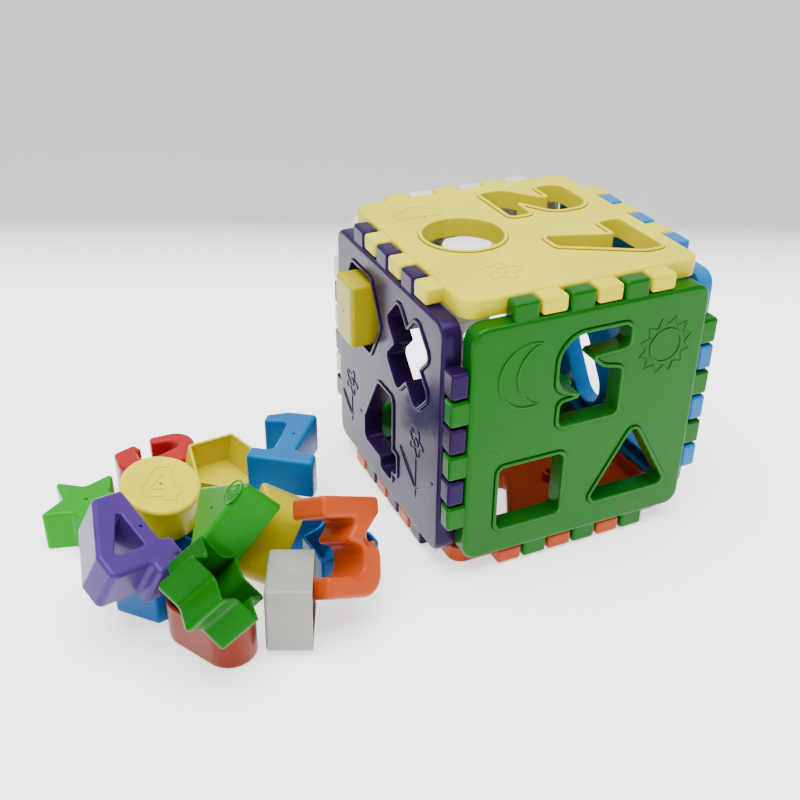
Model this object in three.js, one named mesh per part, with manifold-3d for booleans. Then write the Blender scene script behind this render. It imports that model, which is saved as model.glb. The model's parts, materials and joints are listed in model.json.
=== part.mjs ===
// Shape sorter: a 150 mm cube of six finger-jointed panels, each with three shaped
// openings, and eighteen hollow sorting blocks. One block sits in the left panel,
// the other seventeen lie in a heap to the left of the cube.
//
// Units are mm. +X is to the right, +Y to the back, +Z up. The origin is on the
// table under the centre of the cube.
import * as THREE from "three";
import Module from "manifold-3d";

const wasm = await Module();
wasm.setup();
const { Manifold } = wasm;

// ---------------------------------------------------------------- dimensions
const CUBE = 150; // over the outer faces of two opposite panels
const PLATE = 130; // side of a panel's square plate
const PLATE_CORNER = 8; // corner radius of the plate
const PLATE_WALL = 2.2; // thickness of the plate and of its skirt
const PANEL_DEPTH = 9.7; // outer face to the inner edge of skirt and collars
const RIM_HEIGHT = 0.9; // bead round each opening, above the plate
const RIM_WIDTH = 1.9;
const COLLAR_WALL = 1.8; // wall that stands behind each opening
const SLOT = 14.9; // pitch of the finger joint
const FINGER_GAP = 1.3; // left between two neighbouring fingers
const FINGER_REACH = 74; // cube centre to finger tip
const FINGER_SINK = 1; // finger face below the plate face

const BLOCK_DEPTH = 22; // closed face to open edge
const BLOCK_WALL = 1.6;
const BLOCK_CLEARANCE = 0.6; // all round, block in its opening
const BLOCK_CHAMFER = 1.6; // round the closed face
const VENT = 1.7; // vent hole diameter in the closed face
const INSERTED = 10.6; // how far the block in the left panel stands out

const FACET_SAG = 0.32; // how far a rounded corner's facet may cut inside its arc

// ------------------------------------------------------------------ outlines
// A closed outline is a list of corners [x, y, radius], counter-clockwise.
const regular = (n, radius, corner, turn = 0) =>
  Array.from({ length: n }, (_, i) => {
    const a = THREE.MathUtils.degToRad(turn + (360 / n) * i);
    return [radius * Math.cos(a), radius * Math.sin(a), corner];
  });
const box = (w, h, corner) => [
  [-w / 2, -h / 2, corner], [w / 2, -h / 2, corner],
  [w / 2, h / 2, corner], [-w / 2, h / 2, corner],
];
const starOutline = (points, tip, notch, notchCorner) =>
  Array.from({ length: 2 * points }, (_, i) => {
    const a = Math.PI / 2 + (Math.PI / points) * i;
    const r = i % 2 ? notch : tip;
    return [r * Math.cos(a), r * Math.sin(a), i % 2 ? notchCorner : 2.6];
  });
const crossOutline = (reach, half, corner) => {
  const quarter = [[reach, -half, corner], [reach, half, corner], [half, half, 1.6]];
  return [0, 1, 2, 3].flatMap((k) =>
    quarter.map(([x, y, r]) => {
      const [c, s] = [[1, 0], [0, 1], [-1, 0], [0, -1]][k];
      return [x * c - y * s, x * s + y * c, r];
    }));
};

const OPENINGS = {
  circle: box(41.4, 41.4, 20.69),
  square: box(36, 36, 3),
  rectangle: box(24, 37, 3),
  stadium: box(27, 49, 13.49),
  triangle: regular(3, 27.7, 3, 90),
  pentagon: regular(5, 24.5, 3, 90),
  hexagon: regular(6, 24.6, 3, 0),
  star: starOutline(5, 28, 13.8, 2),
  six_star: starOutline(6, 27, 15, 3),
  cross: crossOutline(24.6, 9.7, 4),
  half_round: [[-23.5, -12, 3], [23.5, -12, 3], [23.5, 13.5, 21], [-23.5, 13.5, 21]],
  one: [[-18.8, -24.4, 3], [18.8, -24.4, 3], [18.8, -13.4, 3], [7, -13.4, 3], [9.4, 24.4, 3],
    [-8, 24.4, 4], [-20, 18.5, 3], [-20, 10.5, 2.6], [-7, 12.5, 1.6], [-6.4, -13.4, 3], [-18.8, -13.4, 3]],
  two: [[-19, -24.3, 3], [17.5, -24.3, 3], [17.5, -12.4, 3], [-2, -12.4, 1.6], [19, 1, 11],
    [19, 24.4, 15], [-16, 24.4, 13], [-16, 9.2, 3], [0.6, 9.4, 1.6], [-2, 3.6, 6], [-19, -10, 10]],
  three: [[-18, -24.4, 4], [19, -24.4, 17], [19, 0.5, 9], [8.5, 4, 2], [19, 15.5, 3],
    [19, 24.4, 3], [-19, 24.4, 3], [-19, 12.6, 3], [3, 12.6, 1.6], [-5, 2.5, 2.6],
    [6.5, 0, 5], [6.5, -12.6, 6], [-18, -12.6, 3]],
  four: [[1, -25.5, 2.6], [15, -25.5, 2.6], [15, -19, 1.6], [21, -19, 3], [21, -6.5, 3],
    [15, -6.5, 1.6], [15, 25.5, 3], [-3, 25.5, 4], [-21, -5, 4], [-21, -19, 4], [1, -19, 1.6]],
  five: [[-19, -24.4, 4], [19.4, -24.4, 17], [19.4, 3.4, 11], [1, 9.6, 1.6],
    [17.4, 11.4, 2.6], [17.4, 24.4, 3], [-16, 24.4, 3], [-16, -1, 3], [-4.5, -3.8, 8],
    [3.6, -11.4, 1.8], [-19, -12.6, 3]],
  six: [[-15, -23, 14], [15.5, -23, 14], [15.5, 2, 3.2], [7.5, 2, 2.4], [6.4, -9, 5],
    [0.8, -12.4, 2], [-4, 0, 4], [-4, 9.2, 2.6], [2.4, 9.2, 1], [5, 6.4, 2],
    [12, 9.5, 4], [7, 23.5, 4], [-15, 23.5, 17]],
  seven: [[-14.6, -24.3, 3], [-0.8, -24.3, 3], [19.6, 13.5, 6], [19.6, 24.3, 3],
    [-19.6, 24.3, 3], [-19.6, 11.2, 3], [-2.6, 11.2, 1.6]],
};

// Counters: see-through windows that only the blocks have.
const COUNTERS = {
  four: [[-12.5, -8, 1.6], [4.8, -8, 1.6], [4.8, 15.5, 1.6]],
};

// The straight sides either side of corner i: unit vectors towards the neighbours,
// the angle between them, and the largest radius that fits there.
function cornerAt(corners, i) {
  const n = corners.length;
  const [x, y, r] = corners[i];
  const p = new THREE.Vector2(x, y);
  const toPrev = new THREE.Vector2(...corners[(i + n - 1) % n].slice(0, 2)).sub(p);
  const toNext = new THREE.Vector2(...corners[(i + 1) % n].slice(0, 2)).sub(p);
  const room = 0.499 * Math.min(toPrev.length(), toNext.length());
  toPrev.normalize();
  toNext.normalize();
  const inside = Math.acos(THREE.MathUtils.clamp(toPrev.dot(toNext), -1, 1));
  const radius = Math.min(r, room * Math.tan(inside / 2));
  const convex = toPrev.x * toNext.y - toPrev.y * toNext.x < 0;
  return { p, toPrev, toNext, inside, radius, convex };
}

// How many facets each corner of an outline gets.
const facetsOf = (corners) =>
  corners.map((_, i) => {
    const { inside, radius } = cornerAt(corners, i);
    const step = 2 * Math.acos(Math.max(0.7, 1 - FACET_SAG / radius));
    return Math.max(1, Math.round((Math.PI - inside) / step));
  });

// Turns corners with radii into a polygon.
function rounded(corners, facets = facetsOf(corners)) {
  const out = [];
  corners.forEach((_, i) => {
    const { p, toPrev, toNext, inside, radius, convex } = cornerAt(corners, i);
    const turn = Math.PI - inside;
    const steps = facets[i];
    const centre = p.clone().addScaledVector(toPrev.clone().add(toNext).normalize(),
      radius / Math.sin(inside / 2));
    const from = p.clone().addScaledVector(toPrev, radius / Math.tan(inside / 2));
    for (let k = 0; k <= steps; k++)
      out.push(from.clone().rotateAround(centre, ((convex ? 1 : -1) * turn * k) / steps));
  });
  return out;
}

// Moves every side of an outline inwards by d (outwards when d is negative).
const inset = (corners, d) =>
  corners.map((_, i) => {
    const { p, toPrev, toNext, radius, convex } = cornerAt(corners, i);
    const na = new THREE.Vector2(toPrev.y, -toPrev.x);
    const nb = new THREE.Vector2(-toNext.y, toNext.x);
    p.addScaledVector(na.clone().add(nb), d / (1 + na.dot(nb)));
    return [p.x, p.y, Math.max(0.4, radius + (convex ? -d : d))];
  });

const moved = (corners, [x, y] = [0, 0], turn = 0) => {
  const c = Math.cos(THREE.MathUtils.degToRad(turn));
  const s = Math.sin(THREE.MathUtils.degToRad(turn));
  return corners.map(([px, py, r]) => [px * c - py * s + x, px * s + py * c + y, r]);
};

// ------------------------------------------------------------------- solids
// A stack of matching outlines at rising heights becomes one closed solid.
function loft(outlines) {
  const facets = facetsOf(outlines[0].corners);
  const levels = outlines.map(({ corners, z }) => ({ points: rounded(corners, facets), z }));
  const n = levels[0].points.length;
  const verts = [];
  for (const { points, z } of levels) for (const p of points) verts.push(p.x, p.y, z);
  const tris = [];
  for (let k = 0; k + 1 < levels.length; k++)
    for (let i = 0; i < n; i++) {
      const j = (i + 1) % n;
      const [a, b, c, d] = [k * n + i, k * n + j, (k + 1) * n + j, (k + 1) * n + i];
      tris.push(a, b, c, a, c, d);
    }
  const flat = THREE.ShapeUtils.triangulateShape(levels[0].points, []);
  for (const [a, b, c] of flat) tris.push(c, b, a);
  const top = (levels.length - 1) * n;
  const lid = THREE.ShapeUtils.triangulateShape(levels.at(-1).points, []);
  for (const [a, b, c] of lid) tris.push(top + a, top + b, top + c);
  return new Manifold(new wasm.Mesh({
    numProp: 3,
    vertProperties: new Float32Array(verts),
    triVerts: new Uint32Array(tris),
  }));
}
const prism = (corners, z0, z1) => loft([{ corners, z: z0 }, { corners, z: z1 }]);
const rectPrism = (x0, x1, y0, y1, z0, z1) =>
  Manifold.cube([x1 - x0, y1 - y0, z1 - z0]).translate([x0, y0, z0]);

function meshOf(name, solid, material) {
  const { vertProperties, triVerts, numProp } = solid.getMesh();
  const positions = new Float32Array((vertProperties.length / numProp) * 3);
  for (let i = 0; i < positions.length / 3; i++)
    for (let k = 0; k < 3; k++) positions[3 * i + k] = vertProperties[numProp * i + k];
  const geometry = new THREE.BufferGeometry();
  geometry.setAttribute("position", new THREE.BufferAttribute(positions, 3));
  geometry.setIndex(new THREE.BufferAttribute(new Uint32Array(triVerts), 1));
  const mesh = new THREE.Mesh(geometry, material);
  mesh.name = name;
  return mesh;
}

const plastic = (name, colour) =>
  new THREE.MeshStandardMaterial({ name, color: colour, roughness: 0.35, metalness: 0 });

// ------------------------------------------------------------------- panels
// A panel lies in its own frame with the outer face at z = 0, looking along +z.
function panelSolid(openings, { rims = true, boss = null } = {}) {
  const plate = box(PLATE, PLATE, PLATE_CORNER);
  const added = [prism(plate, -PANEL_DEPTH, 0)
    .subtract(prism(inset(plate, PLATE_WALL), -PANEL_DEPTH - 1, -PLATE_WALL))];
  const cut = [];
  for (const { shape, at, turn = 0 } of openings) {
    const hole = moved(OPENINGS[shape], at, turn);
    added.push(prism(inset(hole, -COLLAR_WALL), -PANEL_DEPTH, -PLATE_WALL / 2));
    if (rims)
      added.push(loft([
        { corners: inset(hole, -RIM_WIDTH), z: -0.5 },
        { corners: inset(hole, -RIM_WIDTH), z: 0.3 },
        { corners: inset(hole, -RIM_WIDTH + 0.6), z: RIM_HEIGHT },
      ]));
    cut.push(prism(hole, -PANEL_DEPTH - 1, RIM_HEIGHT + 1));
  }
  // Fingers stand in slots 2, 4 and 6 of each side, counted anticlockwise.
  for (let side = 0; side < 4; side++)
    for (const slot of [1, 3, 5]) {
      const middle = (slot - 2.5) * SLOT;
      const half = (SLOT - FINGER_GAP) / 2;
      added.push(
        rectPrism(PLATE / 2 - PLATE_WALL / 2, FINGER_REACH, middle - half, middle + half,
          -PANEL_DEPTH, -FINGER_SINK)
          .rotate([0, 0, 90 * side]));
    }
  if (boss) {
    const ring = moved(box(boss.outer, boss.outer, boss.outer / 2), boss.at);
    const bore = moved(box(boss.inner, boss.inner, boss.inner / 2), boss.at);
    added.push(prism(ring, -boss.height, -PLATE_WALL / 2)
      .subtract(prism(bore, -boss.height - 1, -PLATE_WALL)));
  }
  return Manifold.union(added).subtract(Manifold.union(cut));
}

// Each panel: where its frame goes, its colour and its three openings.
const H = CUBE / 2;
const PANELS = [
  { name: "bottom_panel", colour: 0xd2602f, axes: [[1, 0, 0], [0, -1, 0]], at: [0, 0, 0],
    options: { rims: false, boss: { at: [19, 20], outer: 9, inner: 5, height: 8 } },
    openings: [
      { shape: "half_round", at: [-29, 31], turn: 118 },
      { shape: "six_star", at: [-30, -31] },
      { shape: "three", at: [30, -31], turn: 0 }] },
  { name: "front_panel", colour: 0x3c9c3a, axes: [[1, 0, 0], [0, 0, 1]], at: [0, -H, H],
    openings: [
      { shape: "five", at: [1, 28.2], turn: 180 },
      { shape: "square", at: [-29.6, -30.7] },
      { shape: "triangle", at: [29.5, -34] }] },
  { name: "left_panel", colour: 0x6a5a86, axes: [[0, -1, 0], [0, 0, 1]], at: [-H, 0, H],
    openings: [
      { shape: "hexagon", at: [-30, 32] },
      { shape: "cross", at: [27.6, 31.6], turn: 45 },
      { shape: "four", at: [-4.5, -27.4] }] },
  { name: "right_panel", colour: 0x3f8fcf, axes: [[0, 1, 0], [0, 0, 1]], at: [H, 0, H],
    openings: [
      { shape: "stadium", at: [26, -30], turn: -35 },
      { shape: "one", at: [-30, -29] },
      { shape: "six", at: [-2, 31], turn: 90 }] },
  { name: "back_panel", colour: 0xf2f2ee, axes: [[-1, 0, 0], [0, 0, 1]], at: [0, H, H],
    openings: [
      { shape: "rectangle", at: [-8, 34], turn: 90 },
      { shape: "star", at: [-29, -26] },
      { shape: "pentagon", at: [29, -29] }] },
  { name: "top_panel", colour: 0xf2e34a, axes: [[1, 0, 0], [0, 1, 0]], at: [0, 0, CUBE],
    openings: [
      { shape: "circle", at: [-29.7, 5.2] },
      { shape: "two", at: [28.2, 33.2], turn: -90 },
      { shape: "seven", at: [30, -28], turn: -90 }] },
];

// ------------------------------------------------------------------- blocks
// A block is a shell in its own frame: closed face at z = 0, open edge below.
function blockSolid(shape) {
  const outer = inset(OPENINGS[shape], BLOCK_CLEARANCE);
  const body = loft([
    { corners: outer, z: -BLOCK_DEPTH },
    { corners: outer, z: -BLOCK_CHAMFER },
    { corners: inset(outer, BLOCK_CHAMFER * 0.7), z: 0 },
  ]);
  const counter = COUNTERS[shape];
  let cavity = prism(inset(outer, BLOCK_WALL), -BLOCK_DEPTH - 1, -BLOCK_WALL);
  if (counter)
    cavity = cavity.subtract(prism(inset(counter, -BLOCK_WALL), -BLOCK_DEPTH - 2, 0));
  const [vx, vy] = VENT_AT[shape] ?? [0, 0];
  const vent = Manifold.cylinder(BLOCK_DEPTH, VENT / 2, VENT / 2, 6).translate([vx, vy, -BLOCK_DEPTH / 2]);
  const cut = counter ? [cavity, vent, prism(counter, -BLOCK_DEPTH - 3, 3)] : [cavity, vent];
  return body.subtract(Manifold.union(cut));
}
// Vent hole of the shapes whose middle isn't on the closed face.
const VENT_AT = { two: [9, 9], three: [12.5, 1.5], four: [9.5, 2], five: [-8, 4], six: [-10, 0],
  seven: [9, 11], one: [1, 2] };

// Heap: `at` is the middle of the closed face; `face` is the way that face looks,
// [azimuth from +X, elevation]; `spin` turns the block about that direction.
const FLAT = 90;
const BLOCKS = [
  { name: "star_block", shape: "star", colour: 0x46a843, at: [-228.9, 37.7, 22.3], face: [0, FLAT], spin: -42.9 },
  { name: "six_block", shape: "six", colour: 0xc0403c, at: [-184.6, 68.5, 22.3], face: [0, FLAT], spin: 89.9 },
  { name: "circle_block", shape: "circle", colour: 0xf0dd4c, at: [-196.3, -2.3, 48.9], face: [-65.3, 75.5], spin: 58.4 },
  { name: "pentagon_block", shape: "pentagon", colour: 0xe6d435, at: [-156.9, 39.4, 6.5], face: [124.1, -72.8], spin: 2.4 },
  { name: "one_block", shape: "one", colour: 0x2f83c4, at: [-120.8, 20.5, 44.2], face: [0, FLAT], spin: -35.6 },
  { name: "four_block", shape: "four", colour: 0x6f52a0, at: [-221.1, -42.6, 53.6], face: [-35.1, 62.6], spin: 59.4 },
  { name: "triangle_block", shape: "triangle", colour: 0x2f9a37, at: [-181.5, -41.6, 56.3], face: [167.9, 45.4], spin: 74.9 },
  { name: "half_round_block", shape: "half_round", colour: 0xe8d63a, at: [-163.2, -32.3, 32.6], face: [157.1, 27.8], spin: 27.3 },
  { name: "three_block", shape: "three", colour: 0xdc6a2c, at: [-124.9, -79.6, 43], face: [-58.2, 27.8], spin: 59.9 },
  { name: "six_star_block", shape: "six_star", colour: 0x35a535, at: [-202.1, -79.1, 33], face: [170.9, -39.7], spin: -158.7 },
  { name: "stadium_block", shape: "stadium", colour: 0xd0562f, at: [-192.3, -68.2, 0.3], face: [0, -FLAT], spin: -28.9 },
  { name: "square_block", shape: "square", colour: 0xf1f1ec, at: [-166.1, -71.3, 18.8], face: [157.3, 0.8], spin: 2.8 },
  { name: "seven_block", shape: "seven", colour: 0x2ca33a, at: [-38.5, 37, 32.4], face: [0, FLAT], spin: 19.6 },
  { name: "hexagon_block", shape: "hexagon", colour: 0x2f7fc0, at: [-206.5, -25.2, 0.3], face: [0, -FLAT], spin: 47.2 },
  { name: "two_block", shape: "two", colour: 0x3a9a44, at: [-187, 13.3, 22.3], face: [0, FLAT], spin: 52.5 },
  { name: "cross_block", shape: "cross", colour: 0x2c8b3a, at: [38.1, 36.2, 31.9], face: [0, FLAT], spin: 0 },
  { name: "five_block", shape: "five", colour: 0x2f7fc0, at: [-121.5, -36, 0.3], face: [0, -FLAT], spin: 174.7 },
];

// ----------------------------------------------------------------- assembly
const root = new THREE.Group();
root.name = "shape_sorter";

for (const { name, colour, axes, at, openings, options } of PANELS) {
  const mesh = meshOf(name, panelSolid(openings, options), plastic(name, colour));
  const u = new THREE.Vector3(...axes[0]);
  const v = new THREE.Vector3(...axes[1]);
  mesh.matrixAutoUpdate = false;
  mesh.matrix.makeBasis(u, v, u.clone().cross(v)).setPosition(...at);
  root.add(mesh);
}

{
  const { axes, at, openings } = PANELS.find((p) => p.name === "left_panel");
  const u = new THREE.Vector3(...axes[0]);
  const v = new THREE.Vector3(...axes[1]);
  const n = u.clone().cross(v);
  const seat = new THREE.Vector3(...at)
    .addScaledVector(u, openings[0].at[0])
    .addScaledVector(v, openings[0].at[1])
    .addScaledVector(n, INSERTED);
  const block = meshOf("rectangle_block", blockSolid("rectangle"), plastic("rectangle_block", 0xe2cf33));
  block.matrixAutoUpdate = false;
  block.matrix.makeBasis(u, v, n).setPosition(seat);
  root.add(block);
}

for (const { name, shape, colour, at, face: [azimuth, elevation], spin } of BLOCKS) {
  const block = meshOf(name, blockSolid(shape), plastic(name, colour));
  block.rotation.set(0, THREE.MathUtils.degToRad(90 - elevation), THREE.MathUtils.degToRad(azimuth), "ZYX");
  block.rotateZ(THREE.MathUtils.degToRad(spin));
  block.position.set(...at);
  root.add(block);
}

export default root;
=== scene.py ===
# %% [markdown]
# # A shape sorter: the finger-jointed cube and its heap of hollow blocks
# The toy is made of hard, glossy polypropylene. Six panels push together by the fingers
# along their edges, and each panel has three openings that a block fits through. Every
# piece is one injection moulding: walls of even thickness, soft outer edges, and a
# slightly satin skin. Those soft edges catch the light, so this lesson builds each piece
# from its outline with real fillets, and then gives it a moulded finish.

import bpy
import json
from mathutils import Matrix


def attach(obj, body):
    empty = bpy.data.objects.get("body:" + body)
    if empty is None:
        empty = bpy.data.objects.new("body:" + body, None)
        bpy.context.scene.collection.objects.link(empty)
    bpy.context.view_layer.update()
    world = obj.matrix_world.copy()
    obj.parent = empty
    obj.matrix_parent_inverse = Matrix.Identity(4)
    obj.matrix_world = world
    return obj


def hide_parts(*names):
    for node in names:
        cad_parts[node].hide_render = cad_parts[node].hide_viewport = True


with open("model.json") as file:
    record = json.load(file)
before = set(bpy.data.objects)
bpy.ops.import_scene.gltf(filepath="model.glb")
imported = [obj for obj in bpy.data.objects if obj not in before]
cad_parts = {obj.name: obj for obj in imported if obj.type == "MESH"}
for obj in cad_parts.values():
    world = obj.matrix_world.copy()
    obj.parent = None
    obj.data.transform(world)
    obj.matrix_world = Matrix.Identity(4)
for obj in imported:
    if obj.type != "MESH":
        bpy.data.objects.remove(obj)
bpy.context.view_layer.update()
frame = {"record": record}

import json
import math
import bmesh
import bpy
from mathutils import Matrix, Vector
from mathutils.geometry import tessellate_polygon

MM = 0.001

# %% [markdown]
# ## Outlines
# Every opening and every block comes from one flat outline. An outline is a list of
# corners, each with its own radius, which is how a toolmaker would dimension it. It could
# be a Bezier curve, but then moving the sides in by a wall's thickness would distort the
# corners. With corners and radii, an inset moves the sides and adjusts each radius.

# %% Corner lists
def regular(n, radius, corner, turn=0):
    angles = [math.radians(turn + 360 / n * i) for i in range(n)]
    return [(radius * math.cos(a), radius * math.sin(a), corner) for a in angles]

def box(w, h, corner):
    return [(-w / 2, -h / 2, corner), (w / 2, -h / 2, corner),
            (w / 2, h / 2, corner), (-w / 2, h / 2, corner)]

def star(points, tip, notch, notch_corner):
    out = []
    for i in range(2 * points):
        a = math.pi / 2 + math.pi / points * i
        r = notch if i % 2 else tip
        out.append((r * math.cos(a), r * math.sin(a), notch_corner if i % 2 else 2.6))
    return out

def cross(reach, half, corner):
    out = []
    for c, s in ((1, 0), (0, 1), (-1, 0), (0, -1)):
        for x, y, r in ((reach, -half, corner), (reach, half, corner), (half, half, 1.6)):
            out.append((x * c - y * s, x * s + y * c, r))
    return out

print("a hexagon's corners:", [(round(x), round(y)) for x, y, _ in regular(6, 24.6, 3)])

# %% The eighteen outlines
OUTLINES = {
    "circle": box(41.4, 41.4, 20.69),
    "square": box(36, 36, 3),
    "rectangle": box(24, 37, 3),
    "stadium": box(27, 49, 13.49),
    "triangle": regular(3, 27.7, 3, 90),
    "pentagon": regular(5, 24.5, 3, 90),
    "hexagon": regular(6, 24.6, 3, 0),
    "star": star(5, 28, 13.8, 2),
    "six_star": star(6, 27, 15, 3),
    "cross": cross(24.6, 9.7, 4),
    "half_round": [(-23.5, -12, 3), (23.5, -12, 3), (23.5, 13.5, 21), (-23.5, 13.5, 21)],
    "one": [(-18.8, -24.4, 3), (18.8, -24.4, 3), (18.8, -13.4, 3), (7, -13.4, 3), (9.4, 24.4, 3),
            (-8, 24.4, 4), (-20, 18.5, 3), (-20, 10.5, 2.6), (-7, 12.5, 1.6),
            (-6.4, -13.4, 3), (-18.8, -13.4, 3)],
    "two": [(-19, -24.3, 3), (17.5, -24.3, 3), (17.5, -12.4, 3), (-2, -12.4, 1.6), (19, 1, 11),
            (19, 24.4, 15), (-16, 24.4, 13), (-16, 9.2, 3), (0.6, 9.4, 1.6), (-2, 3.6, 6),
            (-19, -10, 10)],
    "three": [(-18, -24.4, 4), (19, -24.4, 17), (19, 0.5, 9), (8.5, 4, 2), (19, 15.5, 3),
              (19, 24.4, 3), (-19, 24.4, 3), (-19, 12.6, 3), (3, 12.6, 1.6), (-5, 2.5, 2.6),
              (6.5, 0, 5), (6.5, -12.6, 6), (-18, -12.6, 3)],
    "four": [(1, -25.5, 2.6), (15, -25.5, 2.6), (15, -19, 1.6), (21, -19, 3), (21, -6.5, 3),
             (15, -6.5, 1.6), (15, 25.5, 3), (-3, 25.5, 4), (-21, -5, 4), (-21, -19, 4),
             (1, -19, 1.6)],
    "five": [(-19, -24.4, 4), (19.4, -24.4, 17), (19.4, 3.4, 11), (1, 9.6, 1.6),
             (17.4, 11.4, 2.6), (17.4, 24.4, 3), (-16, 24.4, 3), (-16, -1, 3), (-4.5, -3.8, 8),
             (3.6, -11.4, 1.8), (-19, -12.6, 3)],
    "six": [(-15, -23, 14), (15.5, -23, 14), (15.5, 2, 3.2), (7.5, 2, 2.4), (6.4, -9, 5),
            (0.8, -12.4, 2), (-4, 0, 4), (-4, 9.2, 2.6), (2.4, 9.2, 1), (5, 6.4, 2),
            (12, 9.5, 4), (7, 23.5, 4), (-15, 23.5, 17)],
    "seven": [(-14.6, -24.3, 3), (-0.8, -24.3, 3), (19.6, 13.5, 6), (19.6, 24.3, 3),
              (-19.6, 24.3, 3), (-19.6, 11.2, 3), (-2.6, 11.2, 1.6)],
}
FOUR_WINDOW = [(-12.5, -8, 1.6), (4.8, -8, 1.6), (4.8, 15.5, 1.6)]
print(len(OUTLINES), "outlines")

# %% Round the corners, and move the sides in
def corner_at(corners, i):
    x, y, r = corners[i]
    p = Vector((x, y))
    back = Vector(corners[i - 1][:2]) - p
    ahead = Vector(corners[(i + 1) % len(corners)][:2]) - p
    room = 0.499 * min(back.length, ahead.length)
    back.normalize()
    ahead.normalize()
    inside = math.acos(max(-1, min(1, back.dot(ahead))))
    radius = min(r, room * math.tan(inside / 2))
    convex = back.x * ahead.y - back.y * ahead.x < 0
    return p, back, ahead, inside, radius, convex

def facets_of(corners, sag=0.02):
    out = []
    for i in range(len(corners)):
        _, _, _, inside, radius, _ = corner_at(corners, i)
        step = 2 * math.acos(max(0.94, 1 - sag / max(radius, 0.5)))
        out.append(max(3, round((math.pi - inside) / step)))
    return out

def rounded(corners, facets=None):
    facets = facets or facets_of(corners)
    out = []
    for i in range(len(corners)):
        p, back, ahead, inside, radius, convex = corner_at(corners, i)
        turn = (math.pi - inside) * (1 if convex else -1)
        centre = p + (back + ahead).normalized() * (radius / math.sin(inside / 2))
        arm = p + back * (radius / math.tan(inside / 2)) - centre
        for k in range(facets[i] + 1):
            a = turn * k / facets[i]
            c, s = math.cos(a), math.sin(a)
            out.append((centre.x + arm.x * c - arm.y * s, centre.y + arm.x * s + arm.y * c))
    return out

def inset(corners, d):
    out = []
    for i in range(len(corners)):
        p, back, ahead, _, radius, convex = corner_at(corners, i)
        na, nb = Vector((back.y, -back.x)), Vector((-ahead.y, ahead.x))
        q = p + (na + nb) * (d / (1 + na.dot(nb)))
        out.append((q.x, q.y, max(0.4, radius + (-d if convex else d))))
    return out

def moved(corners, at=(0, 0), turn=0, scale=1):
    c, s = math.cos(math.radians(turn)) * scale, math.sin(math.radians(turn)) * scale
    return [(x * c - y * s + at[0], x * s + y * c + at[1], r * scale) for x, y, r in corners]

print("circle points:", len(rounded(OUTLINES["circle"])))

# %% [markdown]
# ## A skin made of rings
# A moulding is a skin: rings of points that follow the same outline at rising heights,
# with strips of faces between them, and flat sheets that close it. Extruding and then
# bevelling would also work, but a bevel modifier struggles in the tight notches of a star
# or a digit. With rings, a fillet is only a few rings on a quarter circle. Each ring also
# carries a value that the finish reads: high on the proud edges where hands rub, and below
# zero in the creases, where the finish paints shade with a darker copy of the colour.

# %% The skin builder
class Skin:
    def __init__(self):
        self.verts, self.faces, self.wear = [], [], []

    def ring(self, points, z, wear=0.0):
        first = len(self.verts)
        self.verts += [(x, y, z) for x, y in points]
        self.wear += [wear] * len(points)
        return list(range(first, len(self.verts)))

    def strip(self, a, b):
        n = len(a)
        self.faces += [(a[i], a[(i + 1) % n], b[(i + 1) % n], b[i]) for i in range(n)]

    def rings(self, corners, profile):
        facets = facets_of(corners)
        made = [self.ring(rounded(inset(corners, d), facets), z, w) for d, z, w in profile]
        for a, b in zip(made, made[1:]):
            self.strip(a, b)
        return made

    def sheet(self, *rings):
        flat = [i for r in rings for i in r]
        loops = [[Vector((*self.verts[i][:2], 0)) for i in r] for r in rings]
        self.faces += [tuple(flat[k] for k in tri) for tri in tessellate_polygon(loops)]

    def place(self, matrix, start=0):
        for i in range(start, len(self.verts)):
            self.verts[i] = tuple(matrix @ Vector(self.verts[i]))

def fillet(r, z, steps=5):
    """Rings of a quarter circle: from the side wall up to a flat face at height z."""
    quarter_rings = []
    for k in range(steps + 1):
        a = math.pi / 2 * k / steps
        wear = math.sin(2 * a) ** 0.5 if 0 < k < steps else 0.15
        quarter_rings.append((r * (1 - math.cos(a)), z - r * (1 - math.sin(a)), wear))
    return quarter_rings

print("fillet rings:", len(fillet(2, 0)))

# %% Turn a skin into an object
def make_object(name, skin, matrix):
    lie = matrix.copy()
    lie.translation /= MM
    skin.place(lie)
    mesh = bpy.data.meshes.new(name)
    mesh.from_pydata([tuple(MM * c for c in v) for v in skin.verts], [], skin.faces)
    # Ring values: rubbed wear above zero, painted crease shade below zero.
    layer = mesh.attributes.new("edge_wear_and_painted_crease_shade", "FLOAT", "POINT")
    layer.data.foreach_set("value", skin.wear)
    bm = bmesh.new()
    bm.from_mesh(mesh)
    bmesh.ops.recalc_face_normals(bm, faces=bm.faces)
    bm.to_mesh(mesh)
    bm.free()
    mesh.shade_smooth()
    mesh.set_sharp_from_angle(angle=math.radians(50))
    obj = bpy.data.objects.new(name, mesh)
    bpy.context.scene.collection.objects.link(obj)
    even = obj.modifiers.new("even_normals", "WEIGHTED_NORMAL")
    even.keep_sharp = True
    even.weight = 60
    return obj

print("shading: smooth, sharp beyond 50 degrees, normals weighted by area")

# %% [markdown]
# ## Moulded line reliefs
# Fine raised lines decorate the panels: a crescent, a sun, a cloud and some flowers. On
# the mould they are cut with a ball cutter, which leaves a low ridge with a round top.
# A displacement map would need far more faces, so each ridge is a thin sweep laid on the
# panel's face.

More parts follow.
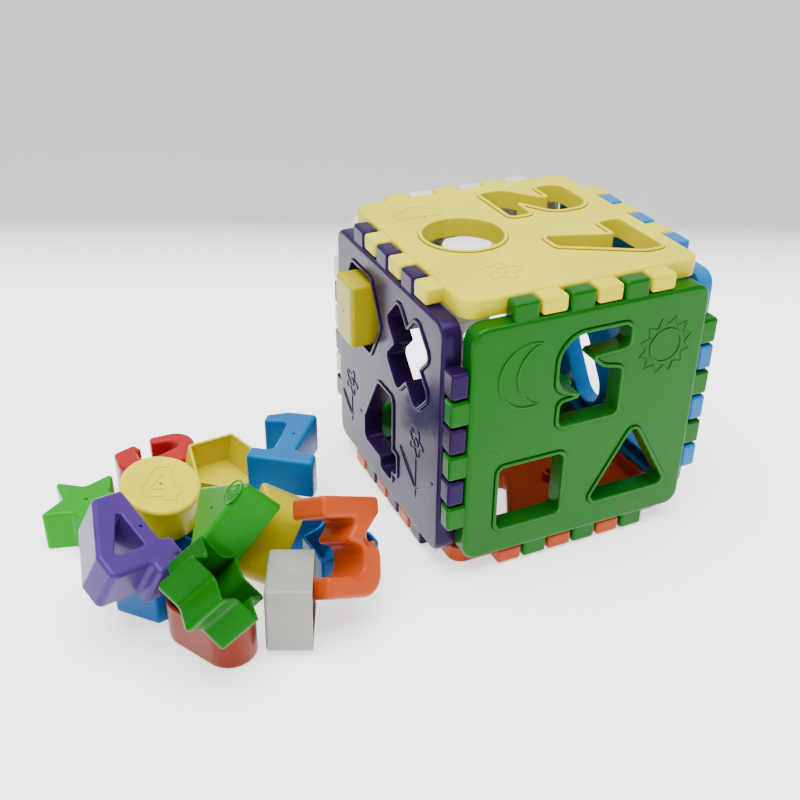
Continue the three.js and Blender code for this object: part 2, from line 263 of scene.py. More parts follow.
# %% A ridge along a line
def ridge(skin, points, half=0.75, height=0.55, closed=True, base=0.0):
    shape = [(-1, -0.5), (-0.92, 0.3), (-0.55, 0.8), (0, 1), (0.55, 0.8), (0.92, 0.3), (1, -0.5)]
    n = len(points)
    rows = []
    for i, (x, y) in enumerate(points):
        ax, ay = points[i - 1] if closed or i else points[i]
        bx, by = points[(i + 1) % n] if closed or i + 1 < n else points[i]
        t = Vector((bx - ax, by - ay)).normalized()
        thin = 1 if closed or 0 < i < n - 1 else 0.35
        first = len(skin.verts)
        skin.verts += [(x - t.y * u * half * thin, y + t.x * u * half * thin, base + h * height * thin)
                       for u, h in shape]
        # Below zero at the ridge's foot, where the finish paints shade; above zero on its top, where hands
        # rub.
        skin.wear += [-1.0, -0.7, 0.5, 1.0, 0.5, -0.7, -1.0]
        rows.append(range(first, first + len(shape)))
    for i in range(n if closed else n - 1):
        a, b = rows[i], rows[(i + 1) % n]
        skin.faces += [(a[k], a[(k + 1) % 7], b[(k + 1) % 7], b[k]) for k in range(7)]
    if not closed:
        skin.faces += [tuple(rows[0]), tuple(rows[-1])]

trial = Skin()
ridge(trial, [(0, 0), (10, 0), (10, 10)])
print("a three-point ridge has", len(trial.faces), "faces")

# %% The figures that ridges draw
def arc(cx, cy, r, a0, a1, steps=24):
    angles = [math.radians(a0 + (a1 - a0) * k / steps) for k in range(steps + 1)]
    return [(cx + r * math.cos(a), cy + r * math.sin(a)) for a in angles]

def crescent(skin, cx, cy, r):
    shift = 0.58 * r  # the inner circle's centre stands this far to the side
    tip = math.degrees(math.acos(shift / 2 / r))
    outer = arc(cx, cy, r, tip, 360 - tip)
    inner = arc(cx + shift, cy, r, 180 + tip, 180 - tip)
    ridge(skin, outer[:-1] + inner[:-1])

def sun(skin, cx, cy, r):
    ridge(skin, arc(cx, cy, r, 0, 360, 40)[:-1])
    rays = []
    for k in range(24):
        a, q = math.radians(15 * k), (1.72 if k % 2 else 1.26) * r
        rays.append((cx + q * math.cos(a), cy + q * math.sin(a)))
    ridge(skin, rays, half=0.6, height=0.45)

# %% Clouds and flowers
def cloud(skin, cx, cy, r):
    line = arc(cx - r, cy, 0.55 * r, 250, 80, 12) + arc(cx, cy + 0.35 * r, 0.72 * r, 150, 30, 14)
    line += arc(cx + r, cy, 0.55 * r, 100, -70, 12)
    ridge(skin, line[::-1], half=0.6, height=0.42)

def leaf(skin, cx, foot, stem, side):
    loop = []
    for k in range(20):
        t = 2 * math.pi * k / 20
        along = 1 - math.cos(t)
        loop.append((cx + side * (0.5 + 0.36 * stem * along), foot + 0.28 * stem * along + 1.6 * math.sin(t)))
    ridge(skin, loop, half=0.5, height=0.42)

def flower(skin, cx, cy, r, stem=0.0):
    petals = []
    for k in range(60):
        a = 2 * math.pi * k / 60
        q = r * (0.78 + 0.22 * math.cos(5 * a))
        petals.append((cx + q * math.cos(a), cy + q * math.sin(a)))
    ridge(skin, petals, half=0.6, height=0.45)
    ridge(skin, arc(cx, cy, 0.3 * r, 0, 360, 20)[:-1], half=0.5, height=0.45)
    if stem:
        ridge(skin, [(cx, cy - r - stem * k / 8) for k in range(9)], closed=False, half=0.6, height=0.45)
        for side in (-1, 1):
            leaf(skin, cx, cy - r - 0.75 * stem, stem, side)

print("reliefs: crescent, sun, cloud, flower")

# %% [markdown]
# ## The panels
# A panel is a shallow tray: a plate with a skirt round its edge, and a collar standing
# behind each opening so that a block slides straight through. A raised bead runs round
# each opening. Plate, skirt, beads, openings and collars are one closed skin. The fingers
# are separate closed skins that sink into the skirt: a boolean join would give the same
# look, but it would cost the even rings that the fillets need.

# %% Panel dimensions
HALF = 75.0
PLATE, PLATE_CORNER, WALL, DEPTH = 130, 8, 2.2, 9.7
BEAD, COLLAR = 1.9, 1.8
PITCH, FINGER_GAP, FINGER_TIP, FINGER_SINK = 14.9, 1.3, 74, 1
EDGE = 1.9  # fillet along the plate's outer edge
print("panel:", PLATE, "mm plate,", DEPTH, "mm deep, fingers every", PITCH, "mm")

# %% The bead round an opening, from the plate in to the opening's wall
# The negative values in the third column paint shade into the groove at the foot of the bead.
BEAD_RINGS = [(-BEAD - 0.7, 0, 0), (-BEAD - 0.4, -0.1, -0.5), (-BEAD - 0.06, -0.35, -1), (-BEAD, 0.1, -0.9),
              (-BEAD + 0.04, 0.5, 0), (-BEAD + 0.2, 0.78, 0.9), (-BEAD + 0.5, 0.9, 1), (-0.62, 0.9, 1),
              (-0.25, 0.78, 0.9), (-0.05, 0.5, 0.4)]

# %% The wall of an opening: down the collar, round its edge and up behind the plate
COLLAR_RINGS = [(0, -0.5, 0.3), (0, -DEPTH + 0.5, 0), (-0.15, -DEPTH + 0.12, 0.4), (-0.5, -DEPTH, 0.2),
                (-COLLAR + 0.5, -DEPTH, 0.2), (-COLLAR, -DEPTH + 0.5, 0), (-COLLAR, -WALL, 0),
                (-COLLAR / 2, -WALL, 0)]
print("rings round an opening:", len(BEAD_RINGS) + len(COLLAR_RINGS))

# %% The plate with its openings
def plate_skin(skin, holes, beads=True):
    plate = box(PLATE, PLATE, PLATE_CORNER)
    outside = skin.rings(plate, [(WALL, -WALL, 0), (WALL, -DEPTH + 0.4, 0), (WALL - 0.4, -DEPTH, 0.3),
                                 (0.4, -DEPTH, 0.3), (0, -DEPTH + 0.4, 0)]
                         + fillet(EDGE, 0) + [(EDGE + 0.7, 0, 0)])
    fronts, backs = [outside[-1]], [outside[0]]
    for hole in holes:
        lip = BEAD_RINGS if beads else [(-0.5, 0, 0.2), (-0.12, -0.12, 0.6)]
        wall = skin.rings(hole, lip + COLLAR_RINGS)
        fronts.append(wall[0])
        backs.append(wall[-1])
    skin.sheet(*fronts)
    skin.sheet(*backs)

# %% The fingers along its edges
def finger(skin, side, middle):
    start = len(skin.verts)
    section = box(PITCH - FINGER_GAP, DEPTH - FINGER_SINK, 1.7)
    root = (0, PLATE / 2 - WALL / 2, 0)
    rings = skin.rings(section, [root] + fillet(1.6, FINGER_TIP) + [(2.0, FINGER_TIP, 0)])
    skin.sheet(rings[0])
    skin.sheet(rings[-1])
    lie = Matrix(((0, 0, 1, 0), (1, 0, 0, middle), (0, 1, 0, -(DEPTH + FINGER_SINK) / 2), (0, 0, 0, 1)))
    skin.place(Matrix.Rotation(math.radians(90 * side), 4, "Z") @ lie, start)

def panel_skin(holes, beads=True):
    skin = Skin()
    plate_skin(skin, holes, beads)
    for side in range(4):
        for slot in (1, 3, 5):
            finger(skin, side, (slot - 2.5) * PITCH)
    return skin

print("a panel without openings has", len(panel_skin([]).faces), "faces")

# %% The six panels, their openings and their places
PANELS = {
    "bottom_panel": (((1, 0, 0), (0, -1, 0)), (0, 0, 0),
                     [("half_round", (-29, 31), 118), ("six_star", (-30, -31), 0), ("three", (30, -31), 0)]),
    "front_panel": (((1, 0, 0), (0, 0, 1)), (0, -HALF, HALF),
                    [("five", (1, 28.2), 180), ("square", (-29.6, -30.7), 0), ("triangle", (29.5, -34), 0)]),
    "left_panel": (((0, -1, 0), (0, 0, 1)), (-HALF, 0, HALF),
                   [("hexagon", (-30, 32), 0), ("cross", (27.6, 31.6), 45), ("four", (-4.5, -27.4), 0)]),
    "right_panel": (((0, 1, 0), (0, 0, 1)), (HALF, 0, HALF),
                    [("stadium", (26, -30), -35), ("one", (-30, -29), 0), ("six", (-2, 31), 90)]),
    "back_panel": (((-1, 0, 0), (0, 0, 1)), (0, HALF, HALF),
                   [("rectangle", (-8, 34), 90), ("star", (-29, -26), 0), ("pentagon", (29, -29), 0)]),
    "top_panel": (((1, 0, 0), (0, 1, 0)), (0, 0, 2 * HALF),
                  [("circle", (-29.7, 5.2), 0), ("two", (28.2, 33.2), -90), ("seven", (30, -28), -90)]),
}

def panel_matrix(axes, at):
    u, v = Vector(axes[0]), Vector(axes[1])
    n = u.cross(v)
    turn = Matrix((u, v, n)).transposed().to_4x4()
    return Matrix.Translation(Vector(at) * MM) @ turn

print("openings:", sum(len(openings) for _, _, openings in PANELS.values()))

# %% Decorate each panel
def decorate(name, skin):
    if name == "front_panel":
        crescent(skin, -33.5, 36, 17)
        sun(skin, 42, 36, 9)
    elif name == "top_panel":
        cloud(skin, -38, 40, 9)
        flower(skin, -33, -41, 10)
    elif name == "left_panel":
        flower(skin, -46, -22, 8, stem=18)
        flower(skin, 39, -12, 8, stem=26)
    elif name == "right_panel":
        flower(skin, 35, 15, 9)
        cloud(skin, -38, 8, 8)
    elif name == "back_panel":
        sun(skin, -45, 34, 8)
        cloud(skin, 42, 12, 8)

# %% The tube that stands on the inside of the bottom panel
def boss(skin, at, across=9, height=8, wall=2):
    tube = moved(box(across, across, across / 2 - 0.01), at)
    rings = skin.rings(tube, [(0, -1.2, 0), (0, 0.4 - height, 0), (0.4, -height, 0.4),
                              (wall - 0.4, -height, 0.4), (wall, 0.4 - height, 0), (wall, -1.2, 0)])
    skin.strip(rings[-1], rings[0])

# %% Build the panels
pieces = {}
for name, (axes, at, openings) in PANELS.items():
    holes = [moved(OUTLINES[shape], place, turn) for shape, place, turn in openings]
    skin = panel_skin(holes, beads=name != "bottom_panel")
    decorate(name, skin)
    if name == "bottom_panel":
        boss(skin, (19, 20))
    pieces[name] = make_object(name + "_moulding", skin, panel_matrix(axes, at))
print("panels:", {n: len(o.data.polygons) for n, o in pieces.items()})

# %% [markdown]
# ## The blocks
# A block is a hollow cup in the shape of its outline: a closed face with a soft edge, a
# thin wall, and a rounded open rim. The inside matters as well, because several blocks
# lie with their open side up. Many have a small vent in the closed face, and the four has
# a window with its own wall. One closed skin holds all of it.

# %% Block dimensions
CLEAR, TALL, THIN, SOFT = 0.78, 22.0, 1.6, 2.2
VENTS = {"two": (9, 9), "three": (12.5, 1.5), "four": (9.5, 2), "five": (-8, 4), "six": (-10, 0),
         "seven": (9, 11), "one": (1, 2)}

# %% The inside of a block, and its open rim
INSIDE_RINGS = [(THIN + 1.5, -THIN, 0), (THIN + 0.9, -THIN - 0.15, 0), (THIN + 0.3, -THIN - 0.7, 0),
                (THIN, -THIN - 1.5, 0), (THIN, -TALL + 0.5, 0)]
RIM_RINGS = [(THIN - 0.15, -TALL + 0.14, 0.5), (THIN - 0.5, -TALL, 0.9), (0.5, -TALL, 0.9),
             (0.15, -TALL + 0.14, 0.9), (0, -TALL + 0.5, 0.3)]
WINDOW_RINGS = [(-1.1, 0, 0.2), (-0.5, -0.18, 0.9), (-0.15, -0.5, 0.8), (0, -1.1, 0.2),
                (0, -TALL + 0.5, 0), (-0.5, -TALL, 0.6), (-THIN + 0.5, -TALL, 0.6),
                (-THIN, -TALL + 0.5, 0), (-THIN, -THIN, 0)]
print("block:", TALL, "mm deep with walls of", THIN, "mm")

# %% A block from its outline
def block_skin(shape):
    skin = Skin()
    body = inset(OUTLINES[shape], CLEAR)
    shell = skin.rings(body, INSIDE_RINGS + RIM_RINGS + fillet(SOFT, 0, 6) + [(SOFT + 0.6, 0, 0)])
    tops, floors = [shell[-1]], [shell[0]]
    x, y = VENTS.get(shape, (0, 0))
    vent = [(x + px, y + py, r) for px, py, r in regular(12, 0.85, 0.2)]
    bore = skin.rings(vent, [(-0.35, 0, 0.2), (-0.1, -0.1, 0.2), (0, -0.35, 0), (0, -THIN, 0)])
    tops.append(bore[0])
    floors.append(bore[-1])
    if shape == "four":
        window = skin.rings(FOUR_WINDOW, WINDOW_RINGS)
        tops.append(window[0])
        floors.append(window[-1])
    skin.sheet(*tops)
    skin.sheet(*floors)
    return skin

star_faces = len(block_skin("star").faces)
print("a star block has", star_faces, "faces")

# %% [markdown]
# ## The heap
# Seventeen blocks lie loose beside the cube or inside it, and one stands in the left
# panel. A simulation could drop them, but the frame already fixes where each one lies. So
# each block gets the middle of its closed face, the way that face looks, and a spin.

# %% Where each block lies
FLAT = 90
LYING = {
    "star": ((-228.9, 37.7, 22.3), (0, FLAT), -42.9),
    "six": ((-184.6, 68.5, 22.3), (0, FLAT), 89.9),
    "circle": ((-196.3, -2.3, 48.9), (-65.3, 75.5), 58.4),
    "pentagon": ((-156.9, 39.4, 6.5), (124.1, -72.8), 2.4),
    "one": ((-120.8, 20.5, 44.2), (0, FLAT), -35.6),
    "four": ((-221.1, -42.6, 53.6), (-35.1, 62.6), 59.4),
    "triangle": ((-181.5, -41.6, 56.3), (167.9, 45.4), 74.9),
    "half_round": ((-163.2, -32.3, 32.6), (157.1, 27.8), 27.3),
    "three": ((-124.9, -79.6, 43), (-58.2, 27.8), 59.9),
    "six_star": ((-202.1, -79.1, 33), (170.9, -39.7), -158.7),
    "stadium": ((-192.3, -68.2, 0.3), (0, -FLAT), -28.9),
    "square": ((-166.1, -71.3, 18.8), (157.3, 0.8), 2.8),
    "seven": ((-38.5, 37, 32.4), (0, FLAT), 19.6),
    "hexagon": ((-206.5, -25.2, 0.3), (0, -FLAT), 47.2),
    "two": ((-187, 13.3, 22.3), (0, FLAT), 52.5),
    "cross": ((38.1, 36.2, 31.9), (0, FLAT), 0),
    "five": ((-121.5, -36, 0.3), (0, -FLAT), 174.7),
}
STANDS_OUT = 10.6  # how far the rectangle's closed face stands out of the left panel

def lying_matrix(at, face, spin):
    azimuth, elevation = face
    turn = (Matrix.Rotation(math.radians(azimuth), 4, "Z")
            @ Matrix.Rotation(math.radians(90 - elevation), 4, "Y")
            @ Matrix.Rotation(math.radians(spin), 4, "Z"))
    return Matrix.Translation(Vector(at) * MM) @ turn

print("lying blocks:", len(LYING))

# %% Moulded marks on two of the closed faces
def mark(shape, skin):
    if shape == "circle":
        ridge(skin, rounded(moved(OUTLINES["four"], (-0.5, 0), 0, 0.44)), half=0.55, height=0.42)
        ridge(skin, rounded(moved(FOUR_WINDOW, (-0.5, 0), 0, 0.44)), half=0.45, height=0.4)
    elif shape == "triangle":
        ridge(skin, arc(0, 15.2, 6.2, 0, 360, 36)[:-1], half=0.5, height=0.42)
        ridge(skin, rounded(moved(OUTLINES["three"], (0, 15.2), 0, 0.15)), half=0.4, height=0.4)

# %% Build the blocks
for shape, (at, face, spin) in LYING.items():
    skin = block_skin(shape)
    mark(shape, skin)
    pieces[shape + "_block"] = make_object(shape + "_moulding", skin, lying_matrix(at, face, spin))

axes, at, openings = PANELS["left_panel"]
seat = panel_matrix(axes, at) @ Matrix.Translation(Vector((*openings[0][1], STANDS_OUT)) * MM)
pieces["rectangle_block"] = make_object("rectangle_moulding", block_skin("rectangle"), seat)
print("pieces:", len(pieces))

# %% [markdown]
# ## A moulded finish
# Coloured polypropylene is never one flat colour. The pigment drifts a little as the
# melt flows, the skin has a faint orange peel and a satin grain, hands polish the proud
# edges, and play leaves fine scratches. Painting these by hand would need textures, so
# each is a shader node group that works out its effect from the piece's own coordinates.

# %% A helper that starts a node group
def new_group(name, inputs, outputs):
    group = bpy.data.node_groups.new(name, "ShaderNodeTree")
    for label, kind, value in inputs:
        socket = group.interface.new_socket(name=label, in_out="INPUT", socket_type="NodeSocket" + kind)
        if value is not None:
            socket.default_value = value
    for label, kind in outputs:
        group.interface.new_socket(name=label, in_out="OUTPUT", socket_type="NodeSocket" + kind)
    nodes = group.nodes
    print("group", name, "puts out", [label for label, _ in outputs])
    return group, nodes, nodes.new("NodeGroupInput"), nodes.new("NodeGroupOutput")

# %% Short ways to place the nodes that every group uses
def noise(nodes, links, coords, scale, detail=2.0, distortion=0.0, seed=None, stretch=None):
    tex = nodes.new("ShaderNodeTexNoise")
    tex.noise_dimensions = "4D" if seed is not None else "3D"
    tex.inputs["Scale"].default_value = scale
    tex.inputs["Detail"].default_value = detail
    tex.inputs["Distortion"].default_value = distortion
    if stretch:
        mapping = nodes.new("ShaderNodeMapping")
        mapping.inputs["Rotation"].default_value = stretch[0]
        mapping.inputs["Scale"].default_value = stretch[1]
        links.new(coords, mapping.inputs["Vector"])
        coords = mapping.outputs["Vector"]
    links.new(coords, tex.inputs["Vector"])
    if seed is not None:
        links.new(seed, tex.inputs["W"])
    return tex.outputs["Fac"]

def spread(nodes, links, value, low, high):
    node = nodes.new("ShaderNodeMapRange")
    node.inputs["From Min"].default_value = low
    node.inputs["From Max"].default_value = high
    links.new(value, node.inputs["Value"])
    return node.outputs["Result"]

def sum_of(nodes, links, kind, a, b):
    node = nodes.new("ShaderNodeMath")
    node.operation = kind
    for socket, value in zip(node.inputs, (a, b)):
        if isinstance(value, (int, float)):
            socket.default_value = value
        else:
            links.new(value, socket)
    return node.outputs[0]

def blend(nodes, links, mask, a, b):
    node = nodes.new("ShaderNodeMix")
    node.data_type = "RGBA"
    links.new(mask, node.inputs[0])
    links.new(a, node.inputs[6])
    links.new(b, node.inputs[7])
    return node.outputs[2]

GROUPS = {}

# %% Pigment that drifts with the flow of the melt
def pigment_flow():
    group, nodes, inp, out = new_group(
        "pigment_flow",
        [("Colour", "Color", None), ("Deep", "Color", None), ("Pale", "Color", None),
         ("Drift", "Float", 0.5), ("Seed", "Float", 0.0)],
        [("Colour", "Color"), ("Drift", "Float")])
    links = group.links
    at = nodes.new("ShaderNodeTexCoord").outputs["Object"]
    wide = spread(nodes, links, noise(nodes, links, at, 16, 3, 0.8, inp.outputs["Seed"]), 0.32, 0.7)
    streak = spread(nodes, links, noise(nodes, links, at, 30, 4, 1.5, inp.outputs["Seed"],
                                        ((0.3, 0.5, 0.7), (1, 0.25, 1))), 0.45, 0.75)
    specks = spread(nodes, links, noise(nodes, links, at, 1300, 1, 0, inp.outputs["Seed"]), 0.66, 0.8)
    deep = sum_of(nodes, links, "MULTIPLY", wide, inp.outputs["Drift"])
    first = blend(nodes, links, deep, inp.outputs["Colour"], inp.outputs["Deep"])
    softer = sum_of(nodes, links, "MULTIPLY", inp.outputs["Drift"], 0.6)
    light = sum_of(nodes, links, "MULTIPLY", streak, softer)
    second = blend(nodes, links, light, first, inp.outputs["Pale"])
    dots = sum_of(nodes, links, "MULTIPLY", specks, 0.25)
    links.new(blend(nodes, links, dots, second, inp.outputs["Deep"]), out.inputs["Colour"])
    links.new(wide, out.inputs["Drift"])
    return group

GROUPS["pigment_flow"] = pigment_flow()

# %% Proud edges that hands have polished, and shade painted into the creases
def worn_edges_and_painted_crease_shade():
    group, nodes, inp, out = new_group(
        "worn_edges_and_painted_crease_shade",
        [("Colour", "Color", None), ("Pale", "Color", None), ("Painted Crease Shade", "Color", None),
         ("Amount", "Float", 0.4), ("Seed", "Float", 0.0)],
        [("Colour", "Color"), ("Mask", "Float")])
    links = group.links
    at = nodes.new("ShaderNodeTexCoord").outputs["Object"]
    layer = nodes.new("ShaderNodeAttribute")
    layer.attribute_name = "edge_wear_and_painted_crease_shade"
    patches = spread(nodes, links, noise(nodes, links, at, 110, 3, 0.4, inp.outputs["Seed"]), 0.38, 0.68)
    proud = sum_of(nodes, links, "MAXIMUM", layer.outputs["Fac"], 0.0)
    mask = sum_of(nodes, links, "MULTIPLY", proud, patches)
    links.new(mask, out.inputs["Mask"])
    rub = sum_of(nodes, links, "MULTIPLY", mask, inp.outputs["Amount"])
    rubbed = blend(nodes, links, rub, inp.outputs["Colour"], inp.outputs["Pale"])
    # Below zero the ring value paints shade: the creases take a darker copy of the colour.
    painted_crease_shade = spread(nodes, links, layer.outputs["Fac"], -0.15, -1.0)
    links.new(blend(nodes, links, painted_crease_shade, rubbed, inp.outputs["Painted Crease Shade"]), out.inputs["Colour"])
    return group

GROUPS["worn_edges_and_painted_crease_shade"] = worn_edges_and_painted_crease_shade()

# %% Fine scratches from play
def play_scratches():
    group, nodes, inp, out = new_group(
        "play_scratches", [("Amount", "Float", 0.5), ("Seed", "Float", 0.0)], [("Mask", "Float")])
    links = group.links
    at = nodes.new("ShaderNodeTexCoord").outputs["Object"]
    total = None
    for turn, scale in (((0.2, 0.1, 0.5), (1, 0.02, 1)), ((0.7, 0.4, 2.1), (1, 0.03, 1)),
                        ((1.3, 0.9, 1.2), (0.03, 1, 1))):
        stretched = noise(nodes, links, at, 900, 1, 0, inp.outputs["Seed"], (turn, scale))
        line = spread(nodes, links, stretched, 0.70, 0.76)
        total = line if total is None else sum_of(nodes, links, "MAXIMUM", total, line)
    where = spread(nodes, links, noise(nodes, links, at, 45, 2, 0, inp.outputs["Seed"]), 0.5, 0.66)
    marks = sum_of(nodes, links, "MULTIPLY", total, where)
    links.new(sum_of(nodes, links, "MULTIPLY", marks, inp.outputs["Amount"]), out.inputs["Mask"])
    return group

GROUPS["play_scratches"] = play_scratches()

# %% The satin skin: grain, orange peel and the roughness that goes with them
def satin_skin():
    group, nodes, inp, out = new_group(
        "satin_skin",
        [("Roughness", "Float", 0.3), ("Unevenness", "Float", 0.1), ("Polish", "Float", 0.0),
         ("Scratches", "Float", 0.0), ("Peel", "Float", 0.3), ("Grain", "Float", 0.3)],
        [("Roughness", "Float"), ("Normal", "Vector")])
    links = group.links
    at = nodes.new("ShaderNodeTexCoord").outputs["Object"]
    smear = noise(nodes, links, at, 38, 4, 0.6)
    centred = sum_of(nodes, links, "SUBTRACT", smear, 0.5)
    uneven = sum_of(nodes, links, "MULTIPLY", centred, inp.outputs["Unevenness"])
    rough = sum_of(nodes, links, "ADD", inp.outputs["Roughness"], uneven)
    polished = sum_of(nodes, links, "MULTIPLY", inp.outputs["Polish"], 0.1)
    scratched = sum_of(nodes, links, "MULTIPLY", inp.outputs["Scratches"], 0.35)
    rough = sum_of(nodes, links, "SUBTRACT", rough, polished)
    rough = sum_of(nodes, links, "ADD", rough, scratched)
    links.new(rough, out.inputs["Roughness"])
    normal = None
    for height, distance, strength in (
            (noise(nodes, links, at, 120, 2), 0.00022, inp.outputs["Peel"]),
            (noise(nodes, links, at, 2600, 2), 0.00003, inp.outputs["Grain"]),
            (sum_of(nodes, links, "SUBTRACT", 1.0, inp.outputs["Scratches"]), 0.00004, None)):
        bump = nodes.new("ShaderNodeBump")
        bump.inputs["Distance"].default_value = distance
        if strength is not None:
            links.new(strength, bump.inputs["Strength"])
        links.new(height, bump.inputs["Height"])
        if normal is not None:
            links.new(normal, bump.inputs["Normal"])
        normal = bump.outputs["Normal"]
    links.new(normal, out.inputs["Normal"])
    return group

GROUPS["satin_skin"] = satin_skin()
print("finish groups:", sorted(GROUPS))

# %% [markdown]
# ## One material for each colour of plastic
# Every piece has its own material, because each was moulded in its own shot: the seed,
# the drift and the wear differ. The Principled shader stays in the material, with a
# little subsurface light, which is what makes thin polypropylene glow at its edges.

# %% A plastic from its colour
def linear(rgb):
    parts = [c / 255 for c in rgb]
    return tuple(c / 12.92 if c <= 10 / 255 else ((c + 0.055) / 1.055) ** 2.4 for c in parts) + (1.0,)

def shade(rgb, k):
    return tuple(c * k if k < 1 else c + (255 - c) * (k - 1) * 0.35 for c in rgb)

print("white is", linear((255, 255, 255)), "and its half shade", shade((255, 255, 255), 0.5))

# %% The material of one shot of plastic
DRIFT, GLOW, PEEL, GRAIN, UNEVEN = 0.5, 0.08, 0.35, 0.35, 0.16

def moulded_plastic(name, rgb, seed, roughness, wear, scratches, sheen):
    strongest = max(linear(rgb)[:3])
    tint = tuple(0.15 + 0.85 * c / strongest for c in linear(rgb)[:3]) + (1.0,)
    material = bpy.data.materials.new(name)
    material.use_nodes = True
    nodes, links = material.node_tree.nodes, material.node_tree.links
    shader = nodes["Principled BSDF"]
    used = {}
    for label in GROUPS:
        used[label] = nodes.new("ShaderNodeGroup")
        used[label].node_tree = GROUPS[label]
    flow, edges = used["pigment_flow"], used["worn_edges_and_painted_crease_shade"]
    lines, skin = used["play_scratches"], used["satin_skin"]
    flow.inputs["Colour"].default_value = linear(rgb)
    flow.inputs["Deep"].default_value = linear(shade(rgb, 0.84))
    flow.inputs["Pale"].default_value = linear(shade(rgb, 1.12))
    flow.inputs["Drift"].default_value = DRIFT
    edges.inputs["Pale"].default_value = linear(shade(rgb, 1.3))
    # The crease colour is a half-bright copy of the plastic: painted shade.
    edges.inputs["Painted Crease Shade"].default_value = linear(shade(rgb, 0.5))
    edges.inputs["Amount"].default_value = wear
    lines.inputs["Amount"].default_value = scratches
    for node in (flow, edges, lines):
        node.inputs["Seed"].default_value = seed
    skin.inputs["Roughness"].default_value = roughness
    skin.inputs["Unevenness"].default_value = UNEVEN
    skin.inputs["Peel"].default_value = PEEL
    skin.inputs["Grain"].default_value = GRAIN
    links.new(flow.outputs["Colour"], edges.inputs["Colour"])
    links.new(edges.outputs["Mask"], skin.inputs["Polish"])
    links.new(lines.outputs["Mask"], skin.inputs["Scratches"])
    pale = nodes.new("ShaderNodeMix")
    pale.data_type = "RGBA"
    pale.inputs[7].default_value = linear(shade(rgb, 1.35))
    links.new(lines.outputs["Mask"], pale.inputs[0])
    links.new(edges.outputs["Colour"], pale.inputs[6])
    links.new(pale.outputs[2], shader.inputs["Base Color"])
    links.new(skin.outputs["Roughness"], shader.inputs["Roughness"])
    links.new(skin.outputs["Normal"], shader.inputs["Normal"])
    shader.inputs["IOR"].default_value = 1.49
    shader.inputs["Specular IOR Level"].default_value = sheen
    shader.inputs["Specular Tint"].default_value = tint
    shader.inputs["Subsurface Weight"].default_value = GLOW
    shader.inputs["Subsurface Scale"].default_value = 0.004
    return material

print("plastic: drift", DRIFT, "glow", GLOW, "peel", PEEL, "grain", GRAIN)

# %% Colours of the panels and blocks
COLOURS = {
    "bottom_panel": (160, 58, 22), "front_panel": (5, 76, 5), "left_panel": (28, 12, 50),
    "right_panel": (16, 102, 164), "back_panel": (205, 206, 200), "top_panel": (212, 199, 0),
    "star_block": (22, 132, 18), "six_block": (150, 24, 26), "circle_block": (214, 199, 0),
    "pentagon_block": (200, 186, 6), "one_block": (8, 94, 156), "four_block": (62, 38, 106),
    "triangle_block": (24, 120, 20), "half_round_block": (172, 161, 2), "three_block": (172, 66, 18),
    # The square block is white plastic like the back panel; its darker grey colour is painted shade.
    "six_star_block": (6, 84, 5), "stadium_block": (112, 36, 16), "square_block": (146, 148, 141),
    "rectangle_block": (168, 157, 2), "seven_block": (24, 124, 24), "hexagon_block": (8, 80, 142),
    "two_block": (22, 118, 30), "cross_block": (20, 108, 26), "five_block": (8, 84, 146),
}
GLOSS = {"left_panel": 0.22, "front_panel": 0.3, "top_panel": 0.34, "four_block": 0.26}
PLAIN_GLOSS = 0.3
SHEEN = {"left_panel": 0.2}
PLAIN_SHEEN = 0.36
print("colours:", len(COLOURS))

# %% Give each piece its plastic, its body and its node
names = {node: body for body, nodes in frame["record"]["behaviour"]["bodies"].items() for node in nodes}
for k, (node, piece) in enumerate(sorted(pieces.items())):
    plastic = moulded_plastic(node + "_plastic", COLOURS[node], 3.7 * k + 1.3,
                              roughness=GLOSS.get(node, PLAIN_GLOSS), wear=0.3 + 0.03 * (k % 5),
                              scratches=0.35 + 0.06 * (k % 4), sheen=SHEEN.get(node, PLAIN_SHEEN))
    piece.data.materials.append(plastic)
    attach(piece, names[node])
    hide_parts(node)
print("materials:", len(bpy.data.materials))

# %% [markdown]
# ## The table and the light
# The toy stands on a pale sweep: a white sheet that runs level under it and curves up
# behind, where its colour turns grey as painted shade. The level part glows a little, as a
# lit table does, which a stronger lamp alone couldn't give without washing out the colours.
# One large soft light overhead gives the broad highlights on the flat faces, a smaller one
# on the heap's side models the walls, and a dim all-round light keeps the shadows open.

# %% The sweep
VIEW = Vector((0.4157, 0.9095, 0))
ACROSS = Vector((VIEW.y, -VIEW.x, 0))
LEVEL, BEND = 0.21, 0.12  # where the sheet starts to curve, and the curve's radius
quarter = [math.pi / 2 * k / 24 for k in range(1, 25)]
profile = [(-3.0, 0.0), (LEVEL, 0.0)]
profile += [(LEVEL + BEND * math.sin(a), BEND * (1 - math.cos(a))) for a in quarter]
profile += [(LEVEL + BEND, 2.6)]
print("sweep profile points:", len(profile))

# %% The sheet itself
sweep_verts, sweep_faces = [], []
for along, up in profile:
    for side in (-3.5, 3.5):
        sweep_verts.append(tuple(VIEW * along + ACROSS * side + Vector((0, 0, up))))
for k in range(len(profile) - 1):
    sweep_faces.append((2 * k, 2 * k + 1, 2 * k + 3, 2 * k + 2))
sweep_mesh = bpy.data.meshes.new("paper_sweep")
sweep_mesh.from_pydata(sweep_verts, [], sweep_faces)
sweep_mesh.shade_smooth()
sweep = bpy.data.objects.new("paper_sweep", sweep_mesh)
bpy.context.scene.collection.objects.link(sweep)

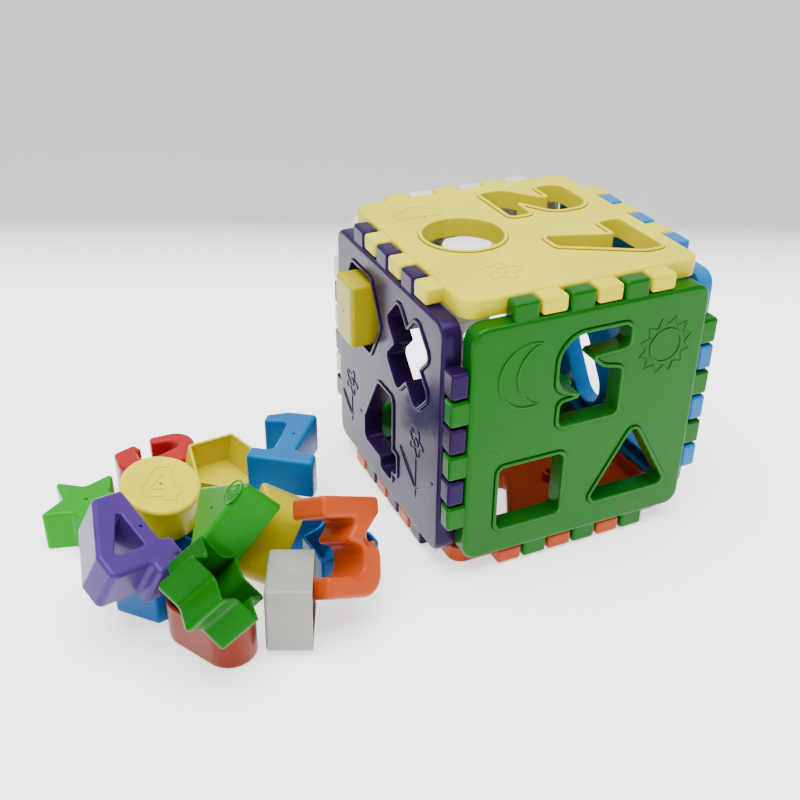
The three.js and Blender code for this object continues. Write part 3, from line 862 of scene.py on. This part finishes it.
# %% Its paper
paper = bpy.data.materials.new("sweep_paper")
paper.use_nodes = True
paper_nodes, paper_links = paper.node_tree.nodes, paper.node_tree.links
paper_shader = paper_nodes["Principled BSDF"]
paper_shader.inputs["Roughness"].default_value = 0.75
paper_shader.inputs["Specular IOR Level"].default_value = 0.2
paper_at = paper_nodes.new("ShaderNodeTexCoord").outputs["Object"]
fibres = spread(paper_nodes, paper_links, noise(paper_nodes, paper_links, paper_at, 60, 4), 0.3, 0.7)
level = paper_nodes.new("ShaderNodeRGB")
level.outputs[0].default_value = linear((252, 252, 252))
# The rising part of the sheet takes a grey colour: painted shade on the back of the sweep.
painted_shade_upright = paper_nodes.new("ShaderNodeRGB")
painted_shade_upright.outputs[0].default_value = linear((173, 174, 169))
height = paper_nodes.new("ShaderNodeSeparateXYZ")
paper_links.new(paper_at, height.inputs["Vector"])
rise = spread(paper_nodes, paper_links, height.outputs["Z"], 0.0, 0.035)
sheet = blend(paper_nodes, paper_links, rise, level.outputs[0], painted_shade_upright.outputs[0])
shadowed = paper_nodes.new("ShaderNodeHueSaturation")
shadowed.inputs["Value"].default_value = 0.985
paper_links.new(sheet, shadowed.inputs["Color"])
toned = blend(paper_nodes, paper_links, fibres, shadowed.outputs["Color"], sheet)
paper_links.new(toned, paper_shader.inputs["Base Color"])
dark = paper_nodes.new("ShaderNodeRGB")
dark.outputs[0].default_value = (0, 0, 0, 1)
paper_links.new(blend(paper_nodes, paper_links, rise, level.outputs[0], dark.outputs[0]),
                paper_shader.inputs["Emission Color"])
paper_shader.inputs["Emission Strength"].default_value = 1.2
sweep.data.materials.append(paper)
print("sweep:", len(sweep_faces), "strips, paper:", paper.name)

# %% Lights
def soft_light(name, at, target, size, power, colour=(1, 1, 1)):
    data = bpy.data.lights.new(name, "AREA")
    data.shape = "RECTANGLE"
    data.size, data.size_y = size
    data.energy = power
    data.color = colour
    light = bpy.data.objects.new(name, data)
    light.location = at
    light.rotation_euler = (Vector(target) - Vector(at)).to_track_quat("-Z", "Y").to_euler()
    bpy.context.scene.collection.objects.link(light)

soft_light("overhead", (-0.1, -0.05, 1.5), (-0.1, 0, 0), (1.5, 1.5), 72)
soft_light("window_side", (-1.5, -0.5, 0.9), (-0.05, 0, 0.05), (1.0, 1.0), 6, (1, 0.99, 0.97))
world = bpy.data.worlds.new("room")
world.use_nodes = True
world.node_tree.nodes["Background"].inputs["Color"].default_value = (1, 1, 1, 1)
world.node_tree.nodes["Background"].inputs["Strength"].default_value = 0.6
bpy.context.scene.world = world

# %% [markdown]
# ## The camera
# A three-quarter view from above the left corner shows the top, the front, the left side
# and the heap. The camera could be aimed with a constraint, but three plain direction
# vectors keep it level and exact.

# %% The camera
camera_data = bpy.data.cameras.new("camera")
camera_data.lens = 49.17
camera_data.sensor_width = 36
camera = bpy.data.objects.new("camera", camera_data)
bpy.context.scene.collection.objects.link(camera)
right, up, back = (Vector((0.9114, -0.4114, 0.0083)), Vector((0.2058, 0.4734, 0.8564)),
                   Vector((-0.3563, -0.7789, 0.5162)))
stand = Matrix((right, up, back)).transposed().to_4x4()
camera.matrix_world = Matrix.Translation((-0.27227, -0.45045, 0.36276)) @ stand
bpy.context.scene.camera = camera
print("camera at", [round(c, 3) for c in camera.location])
